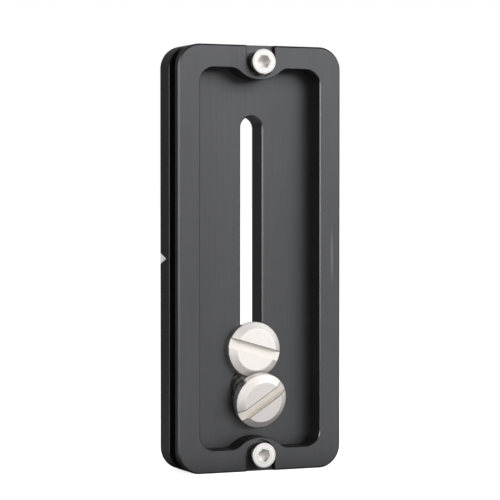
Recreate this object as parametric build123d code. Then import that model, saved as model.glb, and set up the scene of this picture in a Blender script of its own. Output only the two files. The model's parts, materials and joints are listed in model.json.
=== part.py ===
from build123d import *
import math
import os

# Tripod quick release plate with a dovetail foot, standing on its lower end.
# X runs across the plate, Z along its length, and the clamp side faces -Y.
# The origin is the middle of the lower end face. All sizes are in millimetres.

# Plate bar and its dovetail section
plate_length = 92.0
foot_width = 38.0
flange_overhang = 0.1
plate_thickness = 11.0
lip_land = 2.0
groove_depth = 2.6
groove_root = 0.7
corner_radius = 5.0
edge_break = 0.35
groove_break = 0.08

# Pocket milled into the clamp side
rim_width = 4.9
pocket_depth = 5.1
pocket_corner_radius = 3.3
mouth_break = 0.12

# Keyhole slot through the pocket floor
slot_width = 5.1
slot_end_inset = 17.65
entry_diameter = 9.6
slot_break = 0.25

# Stop screws: M3 socket head cap screws in notches that are open to the ends
stop_inset = 3.6
notch_radius = 3.3
notch_depth = 1.0
boss_wall = 0.5
boss_radius = 7.2
boss_blend_radius = 2.9
stop_head_diameter = 5.4
stop_head_height = 3.0
stop_head_break = 0.15
stop_socket_flats = 2.5
stop_socket_depth = 1.4
stop_thread_diameter = 3.0
stop_thread_length = 6.0
stop_tip_break = 0.4
stop_thread_clearance = 0.05
stop_hole_spare = 1.0
lower_stop_turn = 14.0
upper_stop_turn = 30.0

# Camera screws: 1/4 inch thread, relieved neck, bevelled head with a coin slot
head_diameter = 12.1
head_edge = 1.6
bevel_width = 1.55
bevel_height = 1.1
coin_slot_width = 2.05
coin_slot_depth = 1.2
camera_thread_diameter = 6.35
camera_thread_length = 5.0
thread_tip_break = 0.6
neck_clearance = 0.1
neck_spare = 0.3
head_float = 0.05

# Places of the camera screws: one up the slot, one loose in the entry hole
upper_screw_rise = 8.45
upper_coin_turn = -16.0
lower_screw_lean = 12.5
lower_screw_yaw = 5.3
lower_neck_gap = 0.2
lower_neck_turn = 22.0
lower_coin_turn = 33.5

# Sizes that follow from the ones above
half_thickness = plate_thickness / 2
flange_width = foot_width + 2 * flange_overhang
floor_thickness = plate_thickness - pocket_depth
floor_y = pocket_depth - half_thickness
flank_y = lip_land - half_thickness
root_y = flank_y + groove_depth
flange_y = root_y + groove_root
pocket_width = foot_width - 2 * rim_width
pocket_length = plate_length - 2 * rim_width
boss_center_z = stop_inset + notch_radius + boss_wall - boss_radius
upper_stop_z = plate_length - stop_inset
upper_slot_z = plate_length - slot_end_inset
neck_diameter = slot_width - 2 * neck_clearance
neck_length = head_float + floor_thickness + neck_spare
shank_length = neck_length + camera_thread_length
head_height = head_edge + bevel_height

clamp_plane = Plane.XZ.offset(half_thickness)
notch_plane = clamp_plane.offset(-notch_depth)
floor_plane = clamp_plane.offset(-pocket_depth)
camera_plane = clamp_plane.offset(-plate_thickness)
mid_length = Pos(0, plate_length / 2)


def window_edges(body, y, half_width, low_z, high_z):
    """Edges that lie in one plane across the thickness, inside a window of that plane."""
    level = [e for e in body.edges() if all(abs(v.Y - y) < 0.01 for v in e.vertices())]
    return [e for e in level if abs(e.center().X) < half_width and low_z < e.center().Z < high_z]


def dovetail_bar():
    """Bar with 45 degree grooves along both long sides and rounded corners."""
    lip = foot_width / 2
    root = lip - groove_depth
    flange = flange_width / 2
    half_section = Polyline(
        (0, -half_thickness),
        (lip, -half_thickness),
        (lip, flank_y),
        (root, root_y),
        (root, flange_y),
        (flange - groove_break, flange_y),
        (flange, flange_y + groove_break),
        (flange, half_thickness),
        (0, half_thickness),
        close=True,
    )
    half_face = make_face(half_section)
    bar = extrude(half_face + mirror(half_face, about=Plane.YZ), amount=plate_length)
    foot_outline = mid_length * RectangleRounded(foot_width, plate_length, corner_radius)
    flange_outline = mid_length * RectangleRounded(flange_width, plate_length, corner_radius)
    foot_block = extrude(clamp_plane * foot_outline, amount=-(half_thickness + flange_y))
    flange_block = extrude(camera_plane * flange_outline, amount=half_thickness - flange_y)
    bar = bar & (foot_block + flange_block)
    bar = chamfer(bar.faces().sort_by(Axis.Y)[0].edges(), edge_break)
    return chamfer(bar.faces().sort_by(Axis.Y)[-1].edges(), edge_break)


def pocket_outline():
    """Rounded pocket whose end walls swell round the stop screws."""
    boss = Circle(boss_radius)
    outline = mid_length * Rectangle(pocket_width, pocket_length)
    outline -= Pos(0, boss_center_z) * boss
    outline -= Pos(0, plate_length - boss_center_z) * boss
    swells = [v for v in outline.vertices() if abs(v.X) < boss_radius]
    outline = fillet(swells, boss_blend_radius)
    corners = [v for v in outline.vertices() if abs(v.X) > pocket_width / 2 - 0.01]
    return fillet(corners, pocket_corner_radius)


def keyhole_outline():
    """Straight slot with a round entry hole at its lower end."""
    slot = Rot(0, 0, 90) * SlotCenterToCenter(upper_slot_z - slot_end_inset, slot_width)
    return mid_length * slot + Pos(0, slot_end_inset) * Circle(entry_diameter / 2)


def stop_notch(axis_z, end_z):
    """Shallow notch from a stop screw out to the end face, with the screw's tapped hole."""
    channel = Pos(0, (axis_z + end_z) / 2) * Rectangle(2 * notch_radius, abs(end_z - axis_z))
    recess = extrude(clamp_plane * (Pos(0, axis_z) * Circle(notch_radius) + channel), amount=-notch_depth)
    hole = Pos(0, axis_z) * Circle(stop_thread_diameter / 2 + stop_thread_clearance)
    return recess + extrude(notch_plane * hole, amount=-(stop_thread_length + stop_hole_spare))


def plate():
    body = dovetail_bar()
    body -= extrude(clamp_plane * pocket_outline(), amount=-pocket_depth)
    reach = pocket_width / 2 + 0.01
    mouth = window_edges(body, -half_thickness, reach, rim_width - 0.01, plate_length - rim_width + 0.01)
    body = chamfer(mouth, mouth_break)
    body -= extrude(floor_plane * keyhole_outline(), amount=-floor_thickness)
    for y in (floor_y, half_thickness):
        low_z = slot_end_inset - entry_diameter / 2 - 0.01
        high_z = upper_slot_z + slot_width / 2 + 0.01
        body = chamfer(window_edges(body, y, entry_diameter / 2, low_z, high_z), slot_break)
    body -= stop_notch(stop_inset, 0)
    return body - stop_notch(upper_stop_z, plate_length)


def camera_screw(coin_turn):
    """Screw along +Z with the underside of its head at the origin."""
    rim = head_diameter / 2
    neck = neck_diameter / 2
    thread = camera_thread_diameter / 2
    half_section = Polyline(
        (0, head_height),
        (rim - bevel_width, head_height),
        (rim, head_edge),
        (rim, 0),
        (neck, 0),
        (neck, -neck_length),
        (thread, -neck_length - (thread - neck)),
        (thread, thread_tip_break - shank_length),
        (thread - thread_tip_break, -shank_length),
        (0, -shank_length),
        close=True,
    )
    screw = revolve(Plane.XZ * make_face(half_section), axis=Axis.Z)
    coin_slot = Box(2 * head_diameter, coin_slot_width, 2 * coin_slot_depth)
    return screw - Pos(0, 0, head_height) * Rot(0, 0, coin_turn) * coin_slot


def stop_screw(socket_turn):
    """Cap screw along +Z with the underside of its head at the origin."""
    head = Cylinder(stop_head_diameter / 2, stop_head_height, align=(Align.CENTER, Align.CENTER, Align.MIN))
    head = chamfer(head.edges().sort_by(Axis.Z)[-1], stop_head_break)
    socket = RegularPolygon(stop_socket_flats / 2, 6, major_radius=False, rotation=socket_turn)
    head -= extrude(Pos(0, 0, stop_head_height) * socket, amount=-stop_socket_depth)
    shank = Cylinder(stop_thread_diameter / 2, stop_thread_length, align=(Align.CENTER, Align.CENTER, Align.MAX))
    return head + chamfer(shank.edges().sort_by(Axis.Z)[0], stop_tip_break)


# The upper screw's head lies on the pocket floor
across = (1, 0, 0)
upper_seat = Plane((0, floor_y - head_float, slot_end_inset + upper_screw_rise), across, (0, -1, 0))

# The lower screw tips its head down and to the right, with the head's edge on the pocket floor
# and its neck low in the entry hole
lean = math.radians(lower_screw_lean)
yaw = math.radians(lower_screw_yaw)
neck_turn = math.radians(lower_neck_turn)
lower_axis = Vector(math.sin(yaw) * math.cos(lean), -math.cos(yaw) * math.cos(lean), -math.sin(lean))
neck_offset = (entry_diameter - neck_diameter) / 2 - lower_neck_gap
neck_point = Vector(neck_offset * math.sin(neck_turn), floor_y, slot_end_inset - neck_offset * math.cos(neck_turn))
lower_head_lift = head_float + head_diameter / 2 * math.sqrt(1 - lower_axis.Y**2)
lower_seat = Plane(neck_point - lower_axis * (lower_head_lift / lower_axis.Y), across, lower_axis)

plate_body = plate()
upper_camera_screw = upper_seat * camera_screw(upper_coin_turn)
lower_camera_screw = lower_seat * camera_screw(lower_coin_turn)
lower_stop = notch_plane * Pos(0, stop_inset) * stop_screw(lower_stop_turn)
upper_stop = notch_plane * Pos(0, upper_stop_z) * stop_screw(upper_stop_turn)
stop_screws = Compound(children=[lower_stop, upper_stop])

os.makedirs("parts", exist_ok=True)
export_step(plate_body, "parts/plate_body.step")
export_step(upper_camera_screw, "parts/upper_camera_screw.step")
export_step(lower_camera_screw, "parts/lower_camera_screw.step")
export_step(stop_screws, "parts/stop_screws.step")
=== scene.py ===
import bpy
import bmesh
import json
import math
from mathutils import Matrix, Vector


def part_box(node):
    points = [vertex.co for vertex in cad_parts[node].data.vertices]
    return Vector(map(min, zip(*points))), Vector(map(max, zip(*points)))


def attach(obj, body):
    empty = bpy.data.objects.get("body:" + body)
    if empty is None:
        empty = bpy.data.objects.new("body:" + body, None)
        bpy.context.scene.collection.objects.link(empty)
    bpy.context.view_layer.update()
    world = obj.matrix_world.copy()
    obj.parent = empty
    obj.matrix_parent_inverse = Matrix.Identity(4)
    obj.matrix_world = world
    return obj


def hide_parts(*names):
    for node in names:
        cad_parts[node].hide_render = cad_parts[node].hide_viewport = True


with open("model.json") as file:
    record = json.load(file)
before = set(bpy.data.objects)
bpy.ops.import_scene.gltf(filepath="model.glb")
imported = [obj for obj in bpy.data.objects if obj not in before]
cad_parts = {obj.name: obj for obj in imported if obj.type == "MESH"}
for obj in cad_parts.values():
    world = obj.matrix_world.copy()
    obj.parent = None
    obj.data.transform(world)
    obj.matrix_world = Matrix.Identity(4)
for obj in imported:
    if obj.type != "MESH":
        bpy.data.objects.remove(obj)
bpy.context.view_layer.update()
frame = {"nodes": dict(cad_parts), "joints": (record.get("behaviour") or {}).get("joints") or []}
mm = 0.001  # sizes of the pieces and their finishes are written in millimetres
joints = {joint["name"]: joint for joint in frame["joints"]}
plateLow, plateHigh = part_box("plate_body")
plateMiddle = (plateLow + plateHigh) / 2
print("frame loaded:", sorted(frame["nodes"]))


# Helpers for node trees

def addNode(tree, kind, x, y, **settings):
    node = tree.nodes.new(kind)
    node.location = (x, y)
    for name, value in settings.items():
        setattr(node, name, value)
    return node


def setInputs(node, **values):
    for name, value in values.items():
        node.inputs[name].default_value = value
    return node


def feed(tree, socket, value):
    if isinstance(value, bpy.types.NodeSocket):
        tree.links.new(value, socket)
    else:
        socket.default_value = value


def mathNode(tree, operation, x, y, *values):
    node = addNode(tree, "ShaderNodeMath", x, y, operation=operation)
    for socket, value in zip(node.inputs, values):
        feed(tree, socket, value)
    return node.outputs[0]


def rangeNode(tree, x, y, value, fromMin, fromMax, toMin, toMax):
    node = addNode(tree, "ShaderNodeMapRange", x, y)
    names = ("Value", "From Min", "From Max", "To Min", "To Max")
    for name, given in zip(names, (value, fromMin, fromMax, toMin, toMax)):
        feed(tree, node.inputs[name], given)
    return node.outputs["Result"]


def product(tree, x, y, first, *others):
    for step, other in enumerate(others):
        first = mathNode(tree, "MULTIPLY", x + 150 * step, y, first, other)
    return first


def groupTree(name, kind, inputs, outputs):
    tree = bpy.data.node_groups.new(name, kind)
    for way, sockets in (("INPUT", inputs), ("OUTPUT", outputs)):
        for label, (socketKind, value) in sockets.items():
            socket = tree.interface.new_socket(label, in_out=way, socket_type="NodeSocket" + socketKind)
            if value is not None:
                socket.default_value = value
    source = addNode(tree, "NodeGroupInput", -1400, 0)
    result = addNode(tree, "NodeGroupOutput", 1000, 0)
    return tree, source.outputs, result.inputs


# Helpers for meshes

def newPiece(name, mesh):
    piece = bpy.data.objects.new(name, mesh)
    bpy.context.scene.collection.objects.link(piece)
    return piece


def bakeModifiers(piece):
    depsgraph = bpy.context.evaluated_depsgraph_get()
    mesh = bpy.data.meshes.new_from_object(piece.evaluated_get(depsgraph))
    piece.modifiers.clear()
    piece.data = mesh
    mesh.name = piece.name
    return piece


def runNodes(piece, tree, values):
    modifier = piece.modifiers.new(tree.name, "NODES")
    modifier.node_group = tree
    for item in tree.interface.items_tree:
        if item.item_type == "SOCKET" and item.in_out == "INPUT" and item.name in values:
            modifier[item.identifier] = values[item.name]
    return bakeModifiers(piece)


def smoothByAngle(mesh, degrees):
    mesh.shade_smooth()
    mesh.set_sharp_from_angle(angle=math.radians(degrees))


# Rings of points joined by faces; the uv map holds the turn and the distance along the outline
def joinRings(rings, distances):
    form = bmesh.new()
    layer = form.loops.layers.uv.new("turning")
    corners = [[form.verts.new(point) for point in ring] for ring in rings]
    for k in range(len(rings) - 1):
        near, far = corners[k], corners[k + 1]
        count = max(len(near), len(far))
        for i in range(count):
            loopPoints = [(near, i, k), (near, i + 1, k), (far, i + 1, k + 1), (far, i, k + 1)]
            if len(near) == 1:
                loopPoints = loopPoints[1:]
            elif len(far) == 1:
                loopPoints = loopPoints[:3]
            face = form.faces.new([ring[j % len(ring)] for ring, j, row in loopPoints])
            for loop, (ring, j, row) in zip(face.loops, loopPoints):
                loop[layer].uv = (j / count, distances[row])
    bmesh.ops.recalc_face_normals(form, faces=form.faces)
    mesh = bpy.data.meshes.new("rings")
    form.to_mesh(mesh)
    form.free()
    return mesh


def circle(radius, height, count):
    if radius == 0:
        return [(0, 0, height)]
    turns = [2 * math.pi * i / count for i in range(count)]
    return [(radius * math.cos(t), radius * math.sin(t), height) for t in turns]


def hexagon(acrossFlats, height, count):
    points = []
    for i in range(count):
        turn = 2 * math.pi * i / count
        toFlat = (turn + math.pi / 6) % (math.pi / 3) - math.pi / 6
        radius = acrossFlats / 2 / math.cos(toFlat)
        points.append((radius * math.cos(turn), radius * math.sin(turn), height))
    return points


def runLengths(outline):
    lengths = [0.0]
    for (r0, h0), (r1, h1) in zip(outline, outline[1:]):
        lengths.append(lengths[-1] + math.hypot(r1 - r0, h1 - h0))
    return lengths


# Shared shader groups

noiseSpan = (0.3, 0.7)  # where nearly all values of a noise texture lie


def grainGroup():
    inputs = {"Coordinates": ("Vector", None), "Grain Size": ("Float", 0.1), "Cloud Size": ("Float", 10.0)}
    outputs = {"Grain": ("Float", None), "Clouds": ("Float", None)}
    tree, given, result = groupTree("fineGrain", "ShaderNodeTree", inputs, outputs)
    for row, (size, output) in enumerate((("Grain Size", "Grain"), ("Cloud Size", "Clouds"))):
        scale = mathNode(tree, "DIVIDE", -450, -220 * row, 1 / mm, given[size])
        noise = addNode(tree, "ShaderNodeTexNoise", -200, -220 * row)
        setInputs(noise, Detail=2.0, Roughness=0.5)
        tree.links.new(given["Coordinates"], noise.inputs["Vector"])
        tree.links.new(scale, noise.inputs["Scale"])
        tree.links.new(noise.outputs["Fac"], result[output])
    return tree


fineGrain = grainGroup()


# Gloss that changes in soft clouds, with the fine rings that a lathe tool leaves
def turnedGroup():
    inputs = {
        "Coordinates": ("Vector", None),
        "Distance": ("Float", 0.0),
        "Rough": ("Float", 0.5),
        "Rough Spread": ("Float", 0.1),
        "Cloud Size": ("Float", 3.0),
        "Ring Pitch": ("Float", 0.1),
        "Ring Depth": ("Float", 0.001),
        "Band Pitch": ("Float", 0.4),
        "Band Tone": ("Float", 0.05),
    }
    outputs = {"Roughness": ("Float", None), "Normal": ("Vector", None), "Tone": ("Float", None)}
    tree, given, result = groupTree("turnedFinish", "ShaderNodeTree", inputs, outputs)
    grain = addNode(tree, "ShaderNodeGroup", -1000, 200, node_tree=fineGrain)
    tree.links.new(given["Coordinates"], grain.inputs["Coordinates"])
    tree.links.new(given["Cloud Size"], grain.inputs["Cloud Size"])
    low = mathNode(tree, "SUBTRACT", -700, 100, given["Rough"], given["Rough Spread"])
    high = mathNode(tree, "ADD", -700, -50, given["Rough"], given["Rough Spread"])
    rough = rangeNode(tree, -400, 200, grain.outputs["Clouds"], 0.0, 1.0, low, high)
    tree.links.new(rough, result["Roughness"])
    rings = addNode(tree, "ShaderNodeTexNoise", -500, -300, noise_dimensions="1D")
    setInputs(rings, Detail=1.0, Scale=1.0)
    ringPlace = mathNode(tree, "DIVIDE", -700, -300, given["Distance"], given["Ring Pitch"])
    tree.links.new(ringPlace, rings.inputs["W"])
    bump = addNode(tree, "ShaderNodeBump", -100, -300)
    setInputs(bump, Strength=0.5)
    tree.links.new(mathNode(tree, "MULTIPLY", -300, -500, given["Ring Depth"], mm), bump.inputs["Distance"])
    tree.links.new(rings.outputs["Fac"], bump.inputs["Height"])
    tree.links.new(bump.outputs["Normal"], result["Normal"])
    bands = addNode(tree, "ShaderNodeTexNoise", -500, -700, noise_dimensions="1D")
    setInputs(bands, Detail=2.0, Scale=1.0)
    bandPlace = mathNode(tree, "DIVIDE", -700, -700, given["Distance"], given["Band Pitch"])
    tree.links.new(bandPlace, bands.inputs["W"])
    dark = mathNode(tree, "SUBTRACT", -500, -900, 1.0, given["Band Tone"])
    light = mathNode(tree, "ADD", -500, -1050, 1.0, given["Band Tone"])
    tone = rangeNode(tree, -200, -800, bands.outputs["Fac"], *noiseSpan, dark, light)
    tree.links.new(tone, result["Tone"])
    return tree


turnedFinish = turnedGroup()
print("shader groups built")


# Black anodised plate with a white index mark on the edge of its left flange

plateFinish = {
    "black": (0.0915, 0.0922, 0.0955),
    "edgeTint": (0.35, 0.35, 0.35, 1),
    "metalShare": 0.998,
    "rough": 0.45,
    "roughSpread": 0.05,
    "cloudSize": 9.0,
    "grainSize": 0.12,
    "grainDepth": 0.004,
    "grainStrength": 0.3,
    "streakSize": 0.5,
    "streakStretch": 40.0,
    "streakDepth": 0.05,
    "streakSpan": (0.25, 0.75),
    "frontDepth": 0.05,  # a place less deep than this is on the rim's front
    "lighterSpotPlace": (17.0, 46.5),
    "lighterSpotReach": (0.4, 7.0),
    "lighterSpotGain": 0.6,
    "grooveReach": 2.72,
    "grooveSpan": (2.02, 5.31),
    # how dark the shade painted inside the dovetail grooves is
    "grooveShadeTone": 0.3,
    "notchHalf": 3.3,
    "notchLength": 3.6,
    # width and colour of the shade lines painted along the notches' edges
    "notchShadeWidth": 0.18,
    "notchShadeTone": 0.4,
    "rimInset": 4.5,
    "slantSpread": 0.15,
    "mouthEdgeRough": 0.23,
    "slotEdgeRough": 0.36,
    "slotLevel": 5.1,  # depth of the pocket's floor
    "markWhite": (0.54, 0.54, 0.525, 1),
    "markRough": 0.6,
    "markHeight": 46.0,
    "markBase": 2.4,
    "markReach": 3.5,
    "markEdgeGap": 0.35,
    "markSoft": 0.04,
}


# A triangle whose base lies near the camera-side edge of the flange
def indexMask(tree, axes, v):
    x, y, z = axes
    base = plateHigh.y - v["markEdgeGap"] * mm
    apex = base - v["markReach"] * mm
    soft = v["markSoft"] * mm
    spread = rangeNode(tree, -1000, 600, y, apex, base, 0.0, v["markBase"] / 2 * mm)
    offset = mathNode(tree, "SUBTRACT", -1000, 350, z, v["markHeight"] * mm)
    room = mathNode(tree, "SUBTRACT", -800, 450, spread, mathNode(tree, "ABSOLUTE", -900, 300, offset))
    inside = rangeNode(tree, -600, 450, room, -soft, soft, 0.0, 1.0)
    onSide = mathNode(tree, "LESS_THAN", -600, 250, x, plateLow.x + v["markEdgeGap"] / 2 * mm)
    pastApex = mathNode(tree, "GREATER_THAN", -600, 100, y, apex)
    return product(tree, -400, 300, inside, onSide, pastApex)


# Chamfers at 45 degrees to the front, round the pocket's mouth and along the slot
def innerEdgeMask(tree, axes, facing, v):
    turns = addNode(tree, "ShaderNodeSeparateXYZ", -1200, 1050)
    tree.links.new(facing, turns.inputs[0])
    slanted = mathNode(tree, "COMPARE", -1000, 1050, turns.outputs[1], -math.sqrt(0.5), v["slantSpread"])
    aside = mathNode(tree, "ABSOLUTE", -1000, 900, axes[0])
    nearMiddle = mathNode(tree, "LESS_THAN", -800, 900, aside, plateHigh.x - v["rimInset"] * mm)
    halfLength = plateHigh.z - plateMiddle.z - v["rimInset"] * mm
    along = mathNode(tree, "COMPARE", -800, 750, axes[2], plateMiddle.z, halfLength)
    return product(tree, -400, 900, slanted, nearMiddle, along)


def frontMask(tree, x, y, axes, v):
    return mathNode(tree, "LESS_THAN", x, y, axes[1], plateLow.y + v["frontDepth"] * mm)


# Painted shade: a darker colour inside the dovetail grooves, where little light reaches
def paintedGrooveShade(tree, axes, v):
    start, end = (plateLow.y + depth * mm for depth in v["grooveSpan"])
    aside = mathNode(tree, "ABSOLUTE", -1000, 2000, axes[0])
    nearSide = mathNode(tree, "GREATER_THAN", -800, 2000, aside, plateHigh.x - v["grooveReach"] * mm)
    atDepth = mathNode(tree, "COMPARE", -800, 1850, axes[1], (start + end) / 2, (end - start) / 2)
    inside = product(tree, -600, 1900, nearSide, atDepth)
    return rangeNode(tree, -400, 1900, inside, 0.0, 1.0, 1.0, v["grooveShadeTone"])


# Painted shade: thin dark lines on the front of the rim, along the straight edges of the stop screws' notches
def paintedNotchShade(tree, axes, v):
    half = v["notchShadeWidth"] / 2 * mm
    aside = mathNode(tree, "ABSOLUTE", -1000, 2300, axes[0])
    onEdge = mathNode(tree, "COMPARE", -800, 2300, aside, v["notchHalf"] * mm + half, half)
    offset = mathNode(tree, "SUBTRACT", -1000, 2150, axes[2], plateMiddle.z)
    away = mathNode(tree, "ABSOLUTE", -800, 2150, offset)
    start = plateHigh.z - plateMiddle.z - v["notchLength"] * mm
    nearEnd = mathNode(tree, "GREATER_THAN", -600, 2150, away, start)
    line = product(tree, -500, 2300, onEdge, nearEnd, frontMask(tree, -600, 2450, axes, v))
    return rangeNode(tree, -200, 2200, line, 0.0, 1.0, 1.0, v["notchShadeTone"])


# A faint lighter spot on the front of the right rim
def lighterSpot(tree, axes, v):
    squares = []
    for row, (axis, center, reach) in enumerate(zip((axes[0], axes[2]), v["lighterSpotPlace"], v["lighterSpotReach"])):
        y = 1300 + 150 * row
        offset = mathNode(tree, "SUBTRACT", -1200, y, axis, center * mm)
        share = mathNode(tree, "DIVIDE", -1000, y, offset, reach * mm)
        squares.append(mathNode(tree, "MULTIPLY", -800, y, share, share))
    away = mathNode(tree, "ADD", -600, 1300, *squares)
    spot = rangeNode(tree, -400, 1300, away, 0.0, 1.0, v["lighterSpotGain"], 0.0)
    return product(tree, -200, 1300, spot, frontMask(tree, -600, 1150, axes, v))


# Faint streaks along the bar
def streaks(tree, place, v):
    stretched = addNode(tree, "ShaderNodeVectorMath", -1200, 1650, operation="MULTIPLY")
    stretched.inputs[1].default_value = (1, 1, 1 / v["streakStretch"])
    tree.links.new(place, stretched.inputs[0])
    grain = addNode(tree, "ShaderNodeGroup", -1000, 1650, node_tree=fineGrain)
    setInputs(grain, **{"Grain Size": v["streakSize"]})
    tree.links.new(stretched.outputs[0], grain.inputs["Coordinates"])
    low, high = 1 - v["streakDepth"], 1 + v["streakDepth"]
    return rangeNode(tree, -700, 1650, grain.outputs["Grain"], *v["streakSpan"], low, high)


def plateColour(tree, place, axes, mark, v):
    tone = mathNode(tree, "ADD", 0, 1300, streaks(tree, place, v), lighterSpot(tree, axes, v))
    # painted shade in the grooves and along the straight edges of the notches
    tone = product(tree, 150, 1300, tone, paintedGrooveShade(tree, axes, v), paintedNotchShade(tree, axes, v))
    black = addNode(tree, "ShaderNodeVectorMath", -400, 500, operation="SCALE")
    black.inputs[0].default_value = v["black"]
    tree.links.new(tone, black.inputs["Scale"])
    colour = addNode(tree, "ShaderNodeMix", -200, 300, data_type="RGBA")
    tree.links.new(black.outputs[0], colour.inputs[6])
    colour.inputs[7].default_value = v["markWhite"]
    tree.links.new(mark, colour.inputs[0])
    return colour.outputs[2]


# Soft clouds of gloss, smoother chamfers inside the rim and the paint of the mark
def plateRoughness(tree, clouds, axes, facing, mark, v):
    low, high = v["rough"] - v["roughSpread"], v["rough"] + v["roughSpread"]
    rough = rangeNode(tree, -500, -200, clouds, 0.0, 1.0, low, high)
    smooth = innerEdgeMask(tree, axes, facing, v)
    floorLevel = plateLow.y + v["slotLevel"] * mm
    edgeRough = (v["mouthEdgeRough"], v["slotEdgeRough"])
    edge = rangeNode(tree, -500, -50, axes[1], plateLow.y, floorLevel, *edgeRough)
    edged = rangeNode(tree, -350, -150, smooth, 0.0, 1.0, rough, edge)
    return rangeNode(tree, -200, -150, mark, 0.0, 1.0, edged, v["markRough"])


def plateMaterial(v):
    material = bpy.data.materials.new("blackAnodised")
    material.use_nodes = True
    tree = material.node_tree
    surface = tree.nodes["Principled BSDF"]
    setInputs(surface, **{"Specular Tint": v["edgeTint"]})
    coordinates = addNode(tree, "ShaderNodeTexCoord", -1500, 0)
    place, facing = coordinates.outputs["Object"], coordinates.outputs["Normal"]
    split = addNode(tree, "ShaderNodeSeparateXYZ", -1400, 1000)
    tree.links.new(place, split.inputs[0])
    axes = split.outputs
    grain = addNode(tree, "ShaderNodeGroup", -1100, -300, node_tree=fineGrain)
    setInputs(grain, **{"Grain Size": v["grainSize"], "Cloud Size": v["cloudSize"]})
    tree.links.new(place, grain.inputs["Coordinates"])
    mark = indexMask(tree, axes, v)
    metal = rangeNode(tree, -200, 100, mark, 0.0, 1.0, v["metalShare"], 0.0)
    rough = plateRoughness(tree, grain.outputs["Clouds"], axes, facing, mark, v)
    bump = addNode(tree, "ShaderNodeBump", -300, -500)
    setInputs(bump, Strength=v["grainStrength"], Distance=v["grainDepth"] * mm)
    tree.links.new(grain.outputs["Grain"], bump.inputs["Height"])
    tree.links.new(plateColour(tree, place, axes, mark, v), surface.inputs["Base Color"])
    tree.links.new(metal, surface.inputs["Metallic"])
    tree.links.new(rough, surface.inputs["Roughness"])
    tree.links.new(bump.outputs["Normal"], surface.inputs["Normal"])
    return material


for plateSlot in frame["nodes"]["plate_body"].material_slots:
    plateSlot.material = plateMaterial(plateFinish)
print("plate dressed")


# Stainless steel of the screws, with a finish for each way in which a face is cut; some of these steels are
# also painted lighter or darker as light and shade

steelFinish = {
    "turnedStainless": {  # faces and bevels of the camera screws
        "steel": (0.81, 0.78, 0.755),
        "rough": 0.66,
        "roughSpread": 0.08,
        "cloudSize": 3.0,
        "ringPitch": 0.09,
        "ringDepth": 0.0015,
        "bandPitch": 0.3,
        "bandTone": 0.05,
        # a thin dark line painted along the coin slot's edge as shade
        "slotShadeTone": 0.12,
        "slotShadeReach": (0.06, 0.2),
    },
    "milledStainless": {  # bottoms of the coin slots: a milled finish, with steel painted lighter and warmer as light bouncing inside the slots
        "steel": (0.865, 0.818, 0.77),
        "rough": 0.45,
        "roughSpread": 0.06,
        "cloudSize": 1.5,
        "ringPitch": 0.12,
        "ringDepth": 0.001,
        "bandPitch": 0.1,
        "bandTone": 0.02,
    },
    "smoothStainless": {  # faces of the cap screws
        "steel": (0.84, 0.83, 0.815),
        "rough": 0.72,
        "roughSpread": 0.06,
        "cloudSize": 2.0,
        "ringPitch": 0.07,
        "ringDepth": 0.0008,
        "bandPitch": 0.35,
        "bandTone": 0.07,
    },
    "edgeStainless": {  # sides of the camera screws' heads: a smoother finish, with steel painted darker as shade
        "steel": (0.72, 0.7, 0.68),
        "rough": 0.32,
        "roughSpread": 0.06,
        "cloudSize": 2.0,
        "ringPitch": 0.09,
        "ringDepth": 0.001,
        "bandPitch": 0.3,
        "bandTone": 0.04,
    },
    "sawnStainless": {  # walls of the coin slots, cones in the sockets; steel painted darker as shade on the slot walls
        "steel": (0.76, 0.72, 0.68),
        "rough": 0.56,
        "roughSpread": 0.06,
        "cloudSize": 1.5,
        "ringPitch": 0.12,
        "ringDepth": 0.001,
        "bandPitch": 0.1,
        "bandTone": 0.03,
    },
    "polishedStainless": {  # sides and sockets of the cap screws: a polished finish, with steel painted darker as shade on the sides
        "steel": (0.7, 0.685, 0.67),
        "rough": 0.2,
        "roughSpread": 0.05,
        "cloudSize": 2.0,
        "ringPitch": 0.07,
        "ringDepth": 0.0005,
        "bandPitch": 0.5,
        "bandTone": 0.03,
    },
    "threadStainless": {  # shanks of the camera screws, steel painted darker as shade for the shank inside the entry hole
        "steel": (0.5, 0.48, 0.46),
        "rough": 0.36,
        "roughSpread": 0.06,
        "cloudSize": 2.0,
        "ringPitch": 0.07,
        "ringDepth": 0.001,
        "bandPitch": 0.5,
        "bandTone": 0.03,
    },
}


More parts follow.
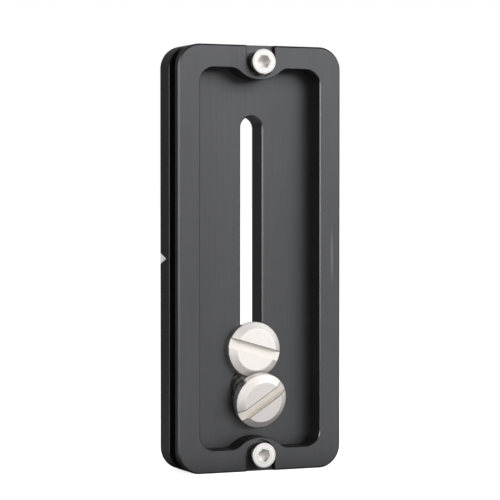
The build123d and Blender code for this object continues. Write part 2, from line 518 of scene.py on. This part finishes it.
def steelMaterial(name, v):
    material = bpy.data.materials.new(name)
    material.use_nodes = True
    tree = material.node_tree
    surface = tree.nodes["Principled BSDF"]
    setInputs(surface, Metallic=1.0)
    place = addNode(tree, "ShaderNodeTexCoord", -1000, 100).outputs["Object"]
    turning = addNode(tree, "ShaderNodeUVMap", -1000, -200, uv_map="turning")
    split = addNode(tree, "ShaderNodeSeparateXYZ", -800, -200)
    tree.links.new(turning.outputs[0], split.inputs[0])
    finish = addNode(tree, "ShaderNodeGroup", -500, 0, node_tree=turnedFinish)
    setInputs(finish, **{"Rough": v["rough"], "Rough Spread": v["roughSpread"], "Cloud Size": v["cloudSize"]})
    setInputs(finish, **{"Ring Pitch": v["ringPitch"], "Ring Depth": v["ringDepth"]})
    setInputs(finish, **{"Band Pitch": v["bandPitch"], "Band Tone": v["bandTone"]})
    tree.links.new(place, finish.inputs["Coordinates"])
    tree.links.new(split.outputs["Y"], finish.inputs["Distance"])
    tone = finish.outputs["Tone"]
    if "slotShadeTone" in v:  # painted shade: a thin dark line along the coin slot's edge
        slotEdge = addNode(tree, "ShaderNodeUVMap", -1000, -500, uv_map="slotEdge")
        distance = addNode(tree, "ShaderNodeSeparateXYZ", -800, -500)
        tree.links.new(slotEdge.outputs[0], distance.inputs[0])
        shade = rangeNode(tree, -600, -500, distance.outputs["X"], *v["slotShadeReach"], v["slotShadeTone"], 1.0)
        tone = mathNode(tree, "MULTIPLY", -350, -300, tone, shade)
    colour = addNode(tree, "ShaderNodeVectorMath", -250, 250, operation="SCALE")
    colour.inputs[0].default_value = v["steel"]
    tree.links.new(tone, colour.inputs["Scale"])
    tree.links.new(colour.outputs[0], surface.inputs["Base Color"])
    tree.links.new(finish.outputs["Roughness"], surface.inputs["Roughness"])
    tree.links.new(finish.outputs["Normal"], surface.inputs["Normal"])
    return material


steel = {name: steelMaterial(name, values) for name, values in steelFinish.items()}


# Camera screws: a turned head with a coin slot, a relieved neck and a cut thread

cameraScrew = {
    "headDiameter": 12.1,
    "headEdge": 1.6,
    "bevelWidth": 1.55,
    "bevelHeight": 1.1,
    "coinSlotWidth": 2.05,
    "coinSlotDepth": 1.2,
    "coinTurn": {"upper": -16.0, "lower": 33.5},
    "edgeRound": 0.12,
    "flatHold": 0.03,
    "roundSteps": 4,
    "headSmoothAngle": 25.0,
    "shadedSlotSides": {"upper": (1,), "lower": (1, -1)},  # sides of the coin slot with a line of painted shade on the edge
    "neckDiameter": 4.9,
    "neckLength": 6.25,
    "threadDiameter": 6.35,
    "threadPitch": 1.27,
    "threadDepthShare": 0.6134,
    "threadCrest": 1 / 16,  # shares of the pitch, from the middle of a crest
    "threadRoot": 3 / 8,
    "threadSmoothAngle": 35.0,
    "threadLength": 5.0,
    "tipBreak": 0.6,
    "rootInHead": 0.3,
    "headSteps": 128,
    "threadSteps": 96,
    "threadRows": 150,
}
headFinishes = ("turnedStainless", "milledStainless", "edgeStainless", "sawnStainless")


# A corner of an outline as a small soft arc, with a point held straight on either side of it
def softCorner(before, corner, after, reach, hold, steps):
    inward = (before - corner).normalized()
    onward = (after - corner).normalized()
    points = [corner + inward * (reach + hold)]
    for i in range(steps + 1):
        t = i / steps
        points.append(corner + inward * reach * (1 - t) ** 2 + onward * reach * t ** 2)
    points.append(corner + onward * (reach + hold))
    return points


def coinSlotCutter(v, coinTurn, top):
    mesh = bpy.data.meshes.new("coinSlot")
    form = bmesh.new()
    form.loops.layers.uv.new("turning")
    bmesh.ops.create_cube(form, size=1.0, calc_uvs=True)
    size = (2 * v["headDiameter"], v["coinSlotWidth"], 2 * v["coinSlotDepth"])
    bmesh.ops.scale(form, vec=size, verts=form.verts)
    form.normal_update()
    wall, bottom = headFinishes.index("sawnStainless"), headFinishes.index("milledStainless")
    for face in form.faces:
        face.material_index = wall if abs(face.normal.y) > 0.5 else bottom
    bmesh.ops.rotate(form, matrix=Matrix.Rotation(math.radians(coinTurn), 3, "Z"), verts=form.verts)
    bmesh.ops.translate(form, vec=(0, 0, top), verts=form.verts)
    form.to_mesh(mesh)
    form.free()
    return newPiece("coinSlotCutter", mesh)


# Distance from the coin slot's edge as a uv map, kept large on a side that has no painted shade line
def mapSlotEdges(mesh, v, coinTurn, shadedSlotSides):
    across = Matrix.Rotation(math.radians(coinTurn), 3, "Z") @ Vector((0, 1, 0))
    layer = mesh.uv_layers.new(name="slotEdge")
    for face in mesh.polygons:
        dark = math.copysign(1, face.center.dot(across)) in shadedSlotSides
        for corner in face.loop_indices:
            point = mesh.vertices[mesh.loops[corner].vertex_index].co
            distance = abs(point.dot(across)) - v["coinSlotWidth"] / 2
            layer.data[corner].uv = (distance if dark else v["headDiameter"], 0)


def screwHead(name, v, coinTurn, shadedSlotSides):
    rim = v["headDiameter"] / 2
    top = v["headEdge"] + v["bevelHeight"]
    points = [(0, top), (rim - v["bevelWidth"], top), (rim, v["headEdge"]), (rim, 0), (0, 0)]
    points = [Vector(point) for point in points]
    outline = [points[0]]
    for before, corner, after in zip(points, points[1:], points[2:]):
        outline += softCorner(before, corner, after, v["edgeRound"], v["flatHold"], v["roundSteps"])
    outline.append(points[-1])
    rings = [circle(radius, height, v["headSteps"]) for radius, height in outline]
    head = newPiece(name, joinRings(rings, runLengths(outline)))
    cutter = coinSlotCutter(v, coinTurn, top)
    for finish in headFinishes:
        head.data.materials.append(steel[finish])
        cutter.data.materials.append(steel[finish])
    for face in head.data.polygons:
        if face.center.z < v["headEdge"]:
            face.material_index = headFinishes.index("edgeStainless")  # side and underside, in steel painted darker as shade
    slot = head.modifiers.new("coinSlot", "BOOLEAN")
    slot.object = cutter
    slot.operation = "DIFFERENCE"
    slot.solver = "EXACT"
    slot.material_mode = "INDEX"
    bakeModifiers(head)
    bpy.data.objects.remove(cutter)
    mapSlotEdges(head.data, v, coinTurn, shadedSlotSides)
    smoothByAngle(head.data, v["headSmoothAngle"])
    return head


# Shank as one tube whose radius follows a rule: neck, shoulder, thread and tip
def shankTree():
    inputs = {
        "Neck Radius": ("Float", 2.4),
        "Neck Length": ("Float", 6.0),
        "Thread Radius": ("Float", 3.0),
        "Thread Pitch": ("Float", 1.0),
        "Thread Depth": ("Float", 0.6),
        "Thread Crest": ("Float", 0.06),
        "Thread Root": ("Float", 0.4),
        "Shank Length": ("Float", 11.0),
        "Tip Break": ("Float", 0.5),
        "Root In Head": ("Float", 0.3),
        "Steps": ("Int", 64),
        "Rows": ("Int", 80),
        "Material": ("Material", None),
    }
    tree, given, result = groupTree("cutShank", "GeometryNodeTree", inputs, {"Geometry": ("Geometry", None)})
    full = mathNode(tree, "ADD", -1200, 300, given["Shank Length"], given["Root In Head"])
    tube = addNode(tree, "GeometryNodeMeshCylinder", -900, 400, fill_type="NGON")
    tree.links.new(given["Steps"], tube.inputs["Vertices"])
    tree.links.new(given["Rows"], tube.inputs["Side Segments"])
    tree.links.new(full, tube.inputs["Depth"])
    axes = addNode(tree, "ShaderNodeSeparateXYZ", -1100, -200)
    tree.links.new(addNode(tree, "GeometryNodeInputPosition", -1300, -200).outputs[0], axes.inputs[0])
    x, y, z = axes.outputs
    middle = mathNode(tree, "MULTIPLY", -1000, 100, full, 0.5)
    toTip = mathNode(tree, "ADD", -900, 100, z, middle)  # distance from the tip end
    under = mathNode(tree, "SUBTRACT", -800, 0, given["Shank Length"], toTip)  # distance below the head
    turn = mathNode(tree, "DIVIDE", -900, -300, mathNode(tree, "ARCTAN2", -1000, -300, y, x), 2 * math.pi)
    climb = mathNode(tree, "DIVIDE", -900, -450, toTip, given["Thread Pitch"])
    phase = mathNode(tree, "SUBTRACT", -700, -350, climb, turn)
    fromCrest = mathNode(tree, "PINGPONG", -600, -350, phase, 0.5)
    crest, root, depth = given["Thread Crest"], given["Thread Root"], given["Thread Depth"]
    cut = rangeNode(tree, -450, -350, fromCrest, crest, root, 0.0, depth)
    thread = mathNode(tree, "SUBTRACT", -250, -350, given["Thread Radius"], cut)
    pastNeck = mathNode(tree, "SUBTRACT", -600, -100, under, given["Neck Length"])
    shoulder = mathNode(tree, "ADD", -400, -100, pastNeck, given["Neck Radius"])
    tipRadius = mathNode(tree, "SUBTRACT", -600, 200, given["Thread Radius"], given["Tip Break"])
    tip = mathNode(tree, "ADD", -400, 200, tipRadius, toTip)
    lower = mathNode(tree, "MINIMUM", -100, -200, mathNode(tree, "MINIMUM", -200, -50, thread, shoulder), tip)
    inNeck = mathNode(tree, "LESS_THAN", -200, 100, pastNeck, 0.0)
    radius = addNode(tree, "ShaderNodeMix", 100, 0, data_type="FLOAT")
    tree.links.new(inNeck, radius.inputs[0])
    tree.links.new(lower, radius.inputs[2])
    tree.links.new(given["Neck Radius"], radius.inputs[3])
    spot = addNode(tree, "ShaderNodeCombineXYZ", 400, 0)
    tree.links.new(mathNode(tree, "MULTIPLY", 250, 100, x, radius.outputs[0]), spot.inputs[0])
    tree.links.new(mathNode(tree, "MULTIPLY", 250, 0, y, radius.outputs[0]), spot.inputs[1])
    tree.links.new(mathNode(tree, "MULTIPLY", 250, -100, under, -1.0), spot.inputs[2])
    moved = addNode(tree, "GeometryNodeSetPosition", 500, 200)
    tree.links.new(tube.outputs["Mesh"], moved.inputs["Geometry"])
    tree.links.new(spot.outputs[0], moved.inputs["Position"])
    ring = addNode(tree, "ShaderNodeCombineXYZ", 500, -200)
    tree.links.new(turn, ring.inputs[0])
    tree.links.new(under, ring.inputs[1])
    mapped = addNode(tree, "GeometryNodeStoreNamedAttribute", 650, 200, data_type="FLOAT2", domain="CORNER")
    mapped.inputs["Name"].default_value = "turning"
    tree.links.new(moved.outputs["Geometry"], mapped.inputs["Geometry"])
    tree.links.new(ring.outputs[0], mapped.inputs["Value"])
    realized = addNode(tree, "GeometryNodeRealizeInstances", 750, 200)
    tree.links.new(mapped.outputs["Geometry"], realized.inputs["Geometry"])
    dressed = addNode(tree, "GeometryNodeSetMaterial", 850, 200)
    tree.links.new(realized.outputs["Geometry"], dressed.inputs["Geometry"])
    tree.links.new(given["Material"], dressed.inputs["Material"])
    tree.links.new(dressed.outputs["Geometry"], result["Geometry"])
    return tree


cutShank = shankTree()


def screwShank(name, v):
    shank = newPiece(name, bpy.data.meshes.new(name))
    runNodes(shank, cutShank, {
        "Neck Radius": v["neckDiameter"] / 2,
        "Neck Length": v["neckLength"],
        "Thread Radius": v["threadDiameter"] / 2,
        "Thread Pitch": v["threadPitch"],
        "Thread Depth": v["threadDepthShare"] * v["threadPitch"],
        "Thread Crest": v["threadCrest"],
        "Thread Root": v["threadRoot"],
        "Shank Length": v["neckLength"] + v["threadLength"],
        "Tip Break": v["tipBreak"],
        "Root In Head": v["rootInHead"],
        "Steps": v["threadSteps"],
        "Rows": v["threadRows"],
        "Material": steel["threadStainless"],
    })
    smoothByAngle(shank.data, v["threadSmoothAngle"])
    return shank


# Frame of a screw from the middle of its head's underside and its axis out through the face
def screwPlace(underside, axis):
    out = Vector(axis).normalized()
    across = Vector((1, 0, 0))
    across = (across - across.dot(out) * out).normalized()
    turn = Matrix((across, out.cross(across), out)).transposed().to_4x4()
    return Matrix.Translation(underside) @ turn @ Matrix.Scale(mm, 4)


def upperPlace(v):
    low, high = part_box("upper_camera_screw")
    headHeight = (v["headEdge"] + v["bevelHeight"]) * mm
    underside = Vector(((low.x + high.x) / 2, low.y + headHeight, (low.z + high.z) / 2))
    return screwPlace(underside, (0, -1, 0))


def lowerPlace(v):
    hinge = joints["lower_screw_turn"]
    axis = Vector(hinge["axis"]).normalized()
    shankLength = (v["neckLength"] + v["threadLength"]) * mm
    return screwPlace(Vector(hinge["pos_m"]) + axis * shankLength, axis)


def buildCameraScrew(which, place, v):
    body = which + "_screw"
    head = screwHead(which + "_screw_head", v, v["coinTurn"][which], v["shadedSlotSides"][which])
    shank = screwShank(which + "_screw_shank", v)
    for piece in (head, shank):
        piece.data.transform(place)
        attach(piece, body)
    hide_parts(which + "_camera_screw")


buildCameraScrew("upper", upperPlace(cameraScrew), cameraScrew)
buildCameraScrew("lower", lowerPlace(cameraScrew), cameraScrew)
print("camera screws built")


# Stop screws: one cap screw set at both ends of the plate

stopScrew = {
    "inset": 3.6,
    "seatDepth": 1.0,
    "headDiameter": 5.4,
    "headHeight": 3.0,
    "headRound": 0.2,
    "roundSteps": 4,
    "flatHold": 0.03,
    "socketFlats": 2.5,
    "socketBreak": 0.1,
    "socketDepth": 1.4,
    "socketCone": 0.5,
    "threadDiameter": 3.0,
    "threadLength": 6.0,
    "tipBreak": 0.4,
    "turns": (14.0, 30.0),
    "steps": 96,
    "smoothAngle": 28.0,
    "sideSpread": 0.1,  # how far the tilt of a side or a cone may differ
    "coneSpread": 0.03,
}


def capScrewMesh(v):
    count, hold = v["steps"], v["flatHold"]
    head, thread = v["headDiameter"] / 2, v["threadDiameter"] / 2
    top, soft = v["headHeight"], v["headRound"]
    outline = [(0, -v["threadLength"]), (thread - v["tipBreak"], -v["threadLength"])]
    outline += [(thread, v["tipBreak"] - v["threadLength"]), (thread, 0), (head, 0)]
    for i in range(v["roundSteps"] + 1):
        turn = math.pi / 2 * i / v["roundSteps"]
        outline.append((head - soft + soft * math.cos(turn), top - soft + soft * math.sin(turn)))
    outline.append((head - soft - hold, top))
    rings = [circle(radius, height, count) for radius, height in outline]
    socket, rounding = v["socketFlats"], v["socketBreak"]
    bottom = top - v["socketDepth"]
    tip = bottom - v["socketCone"]
    for flats, height in ((socket + 2 * rounding, top), (socket, top - rounding), (socket, bottom)):
        rings.append(hexagon(flats, height, count))
        outline.append((flats / 2, height))
    rings.append(circle(0, tip, count))
    outline.append((0, tip))
    mesh = joinRings(rings, runLengths(outline))
    smoothByAngle(mesh, v["smoothAngle"])
    return mesh


def stopTree():
    inputs = {
        "Screw": ("Object", None),
        "First": ("Vector", (0, 0, 0)),
        "Step": ("Vector", (0, 0, 1)),
        "First Turn": ("Float", 0.0),
        "Turn Step": ("Float", 0.0),
        "Material": ("Material", None),
        "Side Material": ("Material", None),
        "Cone Material": ("Material", None),
        "Cone Tilt": ("Float", 0.9),
        "Side Spread": ("Float", 0.1),
        "Cone Spread": ("Float", 0.05),
    }
    tree, given, result = groupTree("setStops", "GeometryNodeTree", inputs, {"Geometry": ("Geometry", None)})
    spots = addNode(tree, "GeometryNodeMeshLine", -900, 300)
    spots.inputs["Count"].default_value = 2  # one at each end
    tree.links.new(given["First"], spots.inputs["Start Location"])
    tree.links.new(given["Step"], spots.inputs["Offset"])
    screw = addNode(tree, "GeometryNodeObjectInfo", -900, 0)
    tree.links.new(given["Screw"], screw.inputs["Object"])
    index = addNode(tree, "GeometryNodeInputIndex", -1000, -200).outputs[0]
    turned = mathNode(tree, "MULTIPLY", -800, -200, index, given["Turn Step"])
    spin = addNode(tree, "ShaderNodeCombineXYZ", -500, -200)
    tree.links.new(mathNode(tree, "ADD", -650, -200, turned, given["First Turn"]), spin.inputs[2])
    setOn = addNode(tree, "GeometryNodeInstanceOnPoints", -200, 200)
    tree.links.new(spots.outputs["Mesh"], setOn.inputs["Points"])
    tree.links.new(screw.outputs["Geometry"], setOn.inputs["Instance"])
    twist = addNode(tree, "GeometryNodeRotateInstances", 50, 200)
    tree.links.new(setOn.outputs["Instances"], twist.inputs["Instances"])
    tree.links.new(spin.outputs[0], twist.inputs["Rotation"])
    realized = addNode(tree, "GeometryNodeRealizeInstances", 300, 200)
    tree.links.new(twist.outputs["Instances"], realized.inputs["Geometry"])
    dressed = addNode(tree, "GeometryNodeSetMaterial", 550, 200)
    tree.links.new(realized.outputs["Geometry"], dressed.inputs["Geometry"])
    tree.links.new(given["Material"], dressed.inputs["Material"])
    facing = addNode(tree, "ShaderNodeSeparateXYZ", 300, -100)
    tree.links.new(addNode(tree, "GeometryNodeInputNormal", 100, -100).outputs[0], facing.inputs[0])
    tilt = facing.outputs[2]
    sideways = mathNode(tree, "COMPARE", 500, -100, tilt, 0.0, given["Side Spread"])
    onCone = mathNode(tree, "COMPARE", 500, -300, tilt, given["Cone Tilt"], given["Cone Spread"])
    sides = addNode(tree, "GeometryNodeSetMaterial", 750, 200)
    tree.links.new(dressed.outputs["Geometry"], sides.inputs["Geometry"])
    tree.links.new(sideways, sides.inputs["Selection"])
    tree.links.new(given["Side Material"], sides.inputs["Material"])
    cones = addNode(tree, "GeometryNodeSetMaterial", 900, 200)
    tree.links.new(sides.outputs["Geometry"], cones.inputs["Geometry"])
    tree.links.new(onCone, cones.inputs["Selection"])
    tree.links.new(given["Cone Material"], cones.inputs["Material"])
    tree.links.new(cones.outputs["Geometry"], result["Geometry"])
    return tree


def buildStopScrews(v):
    seat = Vector((plateMiddle.x, plateLow.y + v["seatDepth"] * mm, plateLow.z))
    pattern = newPiece("stopPattern", capScrewMesh(v))
    stops = newPiece("stop_cap_screws", bpy.data.meshes.new("stop_cap_screws"))
    firstTurn, lastTurn = (math.radians(turn) for turn in v["turns"])
    length = (plateHigh.z - plateLow.z) / mm
    runNodes(stops, stopTree(), {
        "Screw": pattern,
        "First": (0, v["inset"], 0),
        "Step": (0, length - 2 * v["inset"], 0),
        "First Turn": firstTurn,
        "Turn Step": lastTurn - firstTurn,
        "Material": steel["smoothStainless"],
        "Side Material": steel["polishedStainless"],
        "Cone Material": steel["sawnStainless"],
        "Cone Tilt": math.cos(math.atan2(v["socketCone"], v["socketFlats"] / 2)),
        "Side Spread": v["sideSpread"],
        "Cone Spread": v["coneSpread"],
    })
    bpy.data.objects.remove(pattern)
    stops.data.transform(screwPlace(seat, (0, -1, 0)))
    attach(stops, "plate")
    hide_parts("stop_screws")


buildStopScrews(stopScrew)
print("stop screws built")


# Floor, light and camera, with the floor, lamps and flags in metres

studio = {
    "floorSize": 40.0,
    "floorColor": (0.8, 0.8, 0.8, 1),
    "floorRough": 0.9,
    "floorLift": 0.74,
    "floorGloss": 0.06,
    "ambient": 0.45,
    "lamps": {
        "softBox": {"turn": 29.0, "distance": 2.1, "lift": 1.03, "size": (1.68, 1.479), "radiance": 4.25},
        "edgeStrip": {"turn": -59.0, "distance": 0.5, "lift": 0.1, "size": (0.25, 0.26), "radiance": 5.4},
        "bevelFill": {"turn": -46.0, "distance": 0.6, "lift": 0.24, "size": (0.2, 0.25), "radiance": 4.2},
        "sideFill": {"turn": 66.0, "distance": 0.5, "lift": 0.2, "size": (0.16, 0.4), "radiance": 4.0},
    },
    "standing": {
        "backFlag": {"middle": (-0.8, 0.3, 0.25), "size": (1.0, 0.5), "turn": 0.0, "tone": 0.01},
        "edgeFlag": {"middle": (-0.195, 0.3, 0.25), "size": (0.21, 0.5), "turn": 0.0, "tone": 0.45},
        "frontFlag": {"middle": (1.026, -2.605, 1.45), "size": (7.6, 2.9), "turn": 21.5, "tone": 0.03},
        "rightFlag": {"middle": (0.655, 0.27, 0.4), "size": (0.74, 0.8), "turn": 112.5, "tone": 0.03},
        "leftFlag": {"middle": (-0.861, -0.685, 0.62), "size": (0.957, 1.24), "turn": -51.5, "tone": 0.03},
    },
    "lying": {
        "backCard": {"middle": (-0.7, 0.15, 0.0005), "size": (1.2, 0.3), "turn": 0.0, "tone": 0.04},
        "frontCard": {"middle": (0.568, -1.442, 0.0005), "size": (7.6, 2.5), "turn": 21.5, "tone": 0.03},
        "leftCard": {"middle": (-0.36, -0.15, 0.0005), "size": (0.6, 0.3), "turn": 0.0, "tone": 0.03},
        # painted shadow: a dark card under the plate's foot stands in, for reflections, for the plate's own
        # shadow on the floor there
        "footCard": {"middle": (0.0, -0.004, 0.0002), "size": (0.12, 0.02), "turn": 0.0, "tone": 0.06},
        "ceilingFlag": {"middle": (0.125, 0.15, 0.5), "size": (0.95, 0.6), "turn": 0.0, "tone": 0.06},
        "cornerFlag": {"middle": (-0.4, -0.2, 0.5), "size": (0.6, 0.5), "turn": 0.0, "tone": 0.06},
    },
}


# One for the rays of the lens, metal and glass, which see a white world
def whiteToLens(tree, x, y):
    rays = addNode(tree, "ShaderNodeLightPath", x, y).outputs
    seen = mathNode(tree, "MAXIMUM", x + 200, y, rays["Is Camera Ray"], rays["Is Glossy Ray"])
    return mathNode(tree, "MAXIMUM", x + 400, y, seen, rays["Is Transmission Ray"])


def buildWorld(v):
    world = bpy.data.worlds.new("studioWorld")
    world.use_nodes = True
    bpy.context.scene.world = world
    tree = world.node_tree
    background = tree.nodes["Background"]
    background.inputs["Color"].default_value = (1, 1, 1, 1)
    strength = rangeNode(tree, -200, -100, whiteToLens(tree, -900, -100), 0.0, 1.0, v["ambient"], 1.0)
    tree.links.new(strength, background.inputs["Strength"])


def plainSheet(name, width, height):
    mesh = bpy.data.meshes.new(name)
    form = bmesh.new()
    bmesh.ops.create_grid(form, x_segments=1, y_segments=1, size=0.5)
    bmesh.ops.scale(form, vec=(width, height, 1), verts=form.verts)
    form.to_mesh(mesh)
    form.free()
    return newPiece(name, mesh)


def buildFloor(v):
    floor = plainSheet("floor", v["floorSize"], v["floorSize"])
    material = bpy.data.materials.new("paleFloor")
    material.use_nodes = True
    tree = material.node_tree
    surface = tree.nodes["Principled BSDF"]
    setInputs(surface, **{"Base Color": v["floorColor"], "Roughness": v["floorRough"]})
    setInputs(surface, **{"Specular IOR Level": 0.0, "Emission Color": (1, 1, 1, 1)})
    rays = addNode(tree, "ShaderNodeLightPath", -1100, -300).outputs
    mirrored = mathNode(tree, "MAXIMUM", -800, -450, rays["Is Glossy Ray"], rays["Is Transmission Ray"])
    seen = mathNode(tree, "MULTIPLY", -600, -250, rays["Is Camera Ray"], v["floorLift"])
    glint = mathNode(tree, "MULTIPLY", -600, -450, mirrored, v["floorGloss"])
    tree.links.new(mathNode(tree, "ADD", -350, -300, seen, glint), surface.inputs["Emission Strength"])
    floor.data.materials.append(material)


def around(turnDegrees, distance, lift):
    turn = math.radians(turnDegrees)
    return Vector((math.sin(turn) * distance, -math.cos(turn) * distance, lift))


# Grey flags that only reflections see
def buildFlag(name, tilt, v):
    material = bpy.data.materials.new(name + "Grey")
    material.use_nodes = True
    surface = material.node_tree.nodes["Principled BSDF"]
    setInputs(surface, **{"Base Color": (0, 0, 0, 1), "Roughness": 1.0, "Specular IOR Level": 0.0})
    setInputs(surface, **{"Emission Color": (1, 1, 1, 1), "Emission Strength": v["tone"]})
    sheet = plainSheet(name, *v["size"])
    turn = Matrix.Rotation(math.radians(v["turn"]), 4, "Z")
    sheet.data.transform(Matrix.Translation(v["middle"]) @ turn @ Matrix.Rotation(tilt, 4, "X"))
    sheet.data.materials.append(material)
    sheet.visible_camera = False
    sheet.visible_diffuse = False
    sheet.visible_shadow = False
    sheet.visible_transmission = False


def buildFlags(v):
    for way, tilt in (("standing", math.pi / 2), ("lying", 0.0)):
        for name, flag in v[way].items():
            buildFlag(name, tilt, flag)


def areaLight(name, place, width, height, radiance):
    light = bpy.data.lights.new(name, "AREA")
    light.shape = "RECTANGLE"
    light.size = width
    light.size_y = height
    light.energy = radiance * math.pi * width * height
    lamp = bpy.data.objects.new(name, light)
    bpy.context.scene.collection.objects.link(lamp)
    lamp.location = place
    lamp.rotation_mode = "QUATERNION"
    lamp.rotation_quaternion = (Vector((0, 0, place.z)) - place).to_track_quat("-Z", "Y")
    lamp.visible_camera = False


def buildLights(v):
    for name, lamp in v["lamps"].items():
        place = around(lamp["turn"], lamp["distance"], lamp["lift"])
        areaLight(name, place, *lamp["size"], lamp["radiance"])


camera = {
    "place": (-177.139, -415.559, 58.1),
    "turn": 23.068,
    "pitch": 1.312,
    "lens": 148.98,
    "sensorWidth": 36.0,
    "nearest": 0.01,
}


def buildCamera(v):
    data = bpy.data.cameras.new("photoCamera")
    data.sensor_width = v["sensorWidth"]
    data.lens = v["lens"]
    data.clip_start = v["nearest"]
    lens = bpy.data.objects.new("photoCamera", data)
    bpy.context.scene.collection.objects.link(lens)
    turn = math.radians(v["turn"])
    pitch = math.radians(v["pitch"])
    look = Vector((math.sin(turn) * math.cos(pitch), math.cos(turn) * math.cos(pitch), -math.sin(pitch)))
    lens.location = Vector(v["place"]) * mm
    lens.rotation_mode = "QUATERNION"
    lens.rotation_quaternion = look.to_track_quat("-Z", "Y")
    bpy.context.scene.camera = lens


buildWorld(studio)
buildFloor(studio)
buildFlags(studio)
buildLights(studio)
buildCamera(camera)
bpy.context.scene.view_settings.view_transform = "Standard"
print("studio set")
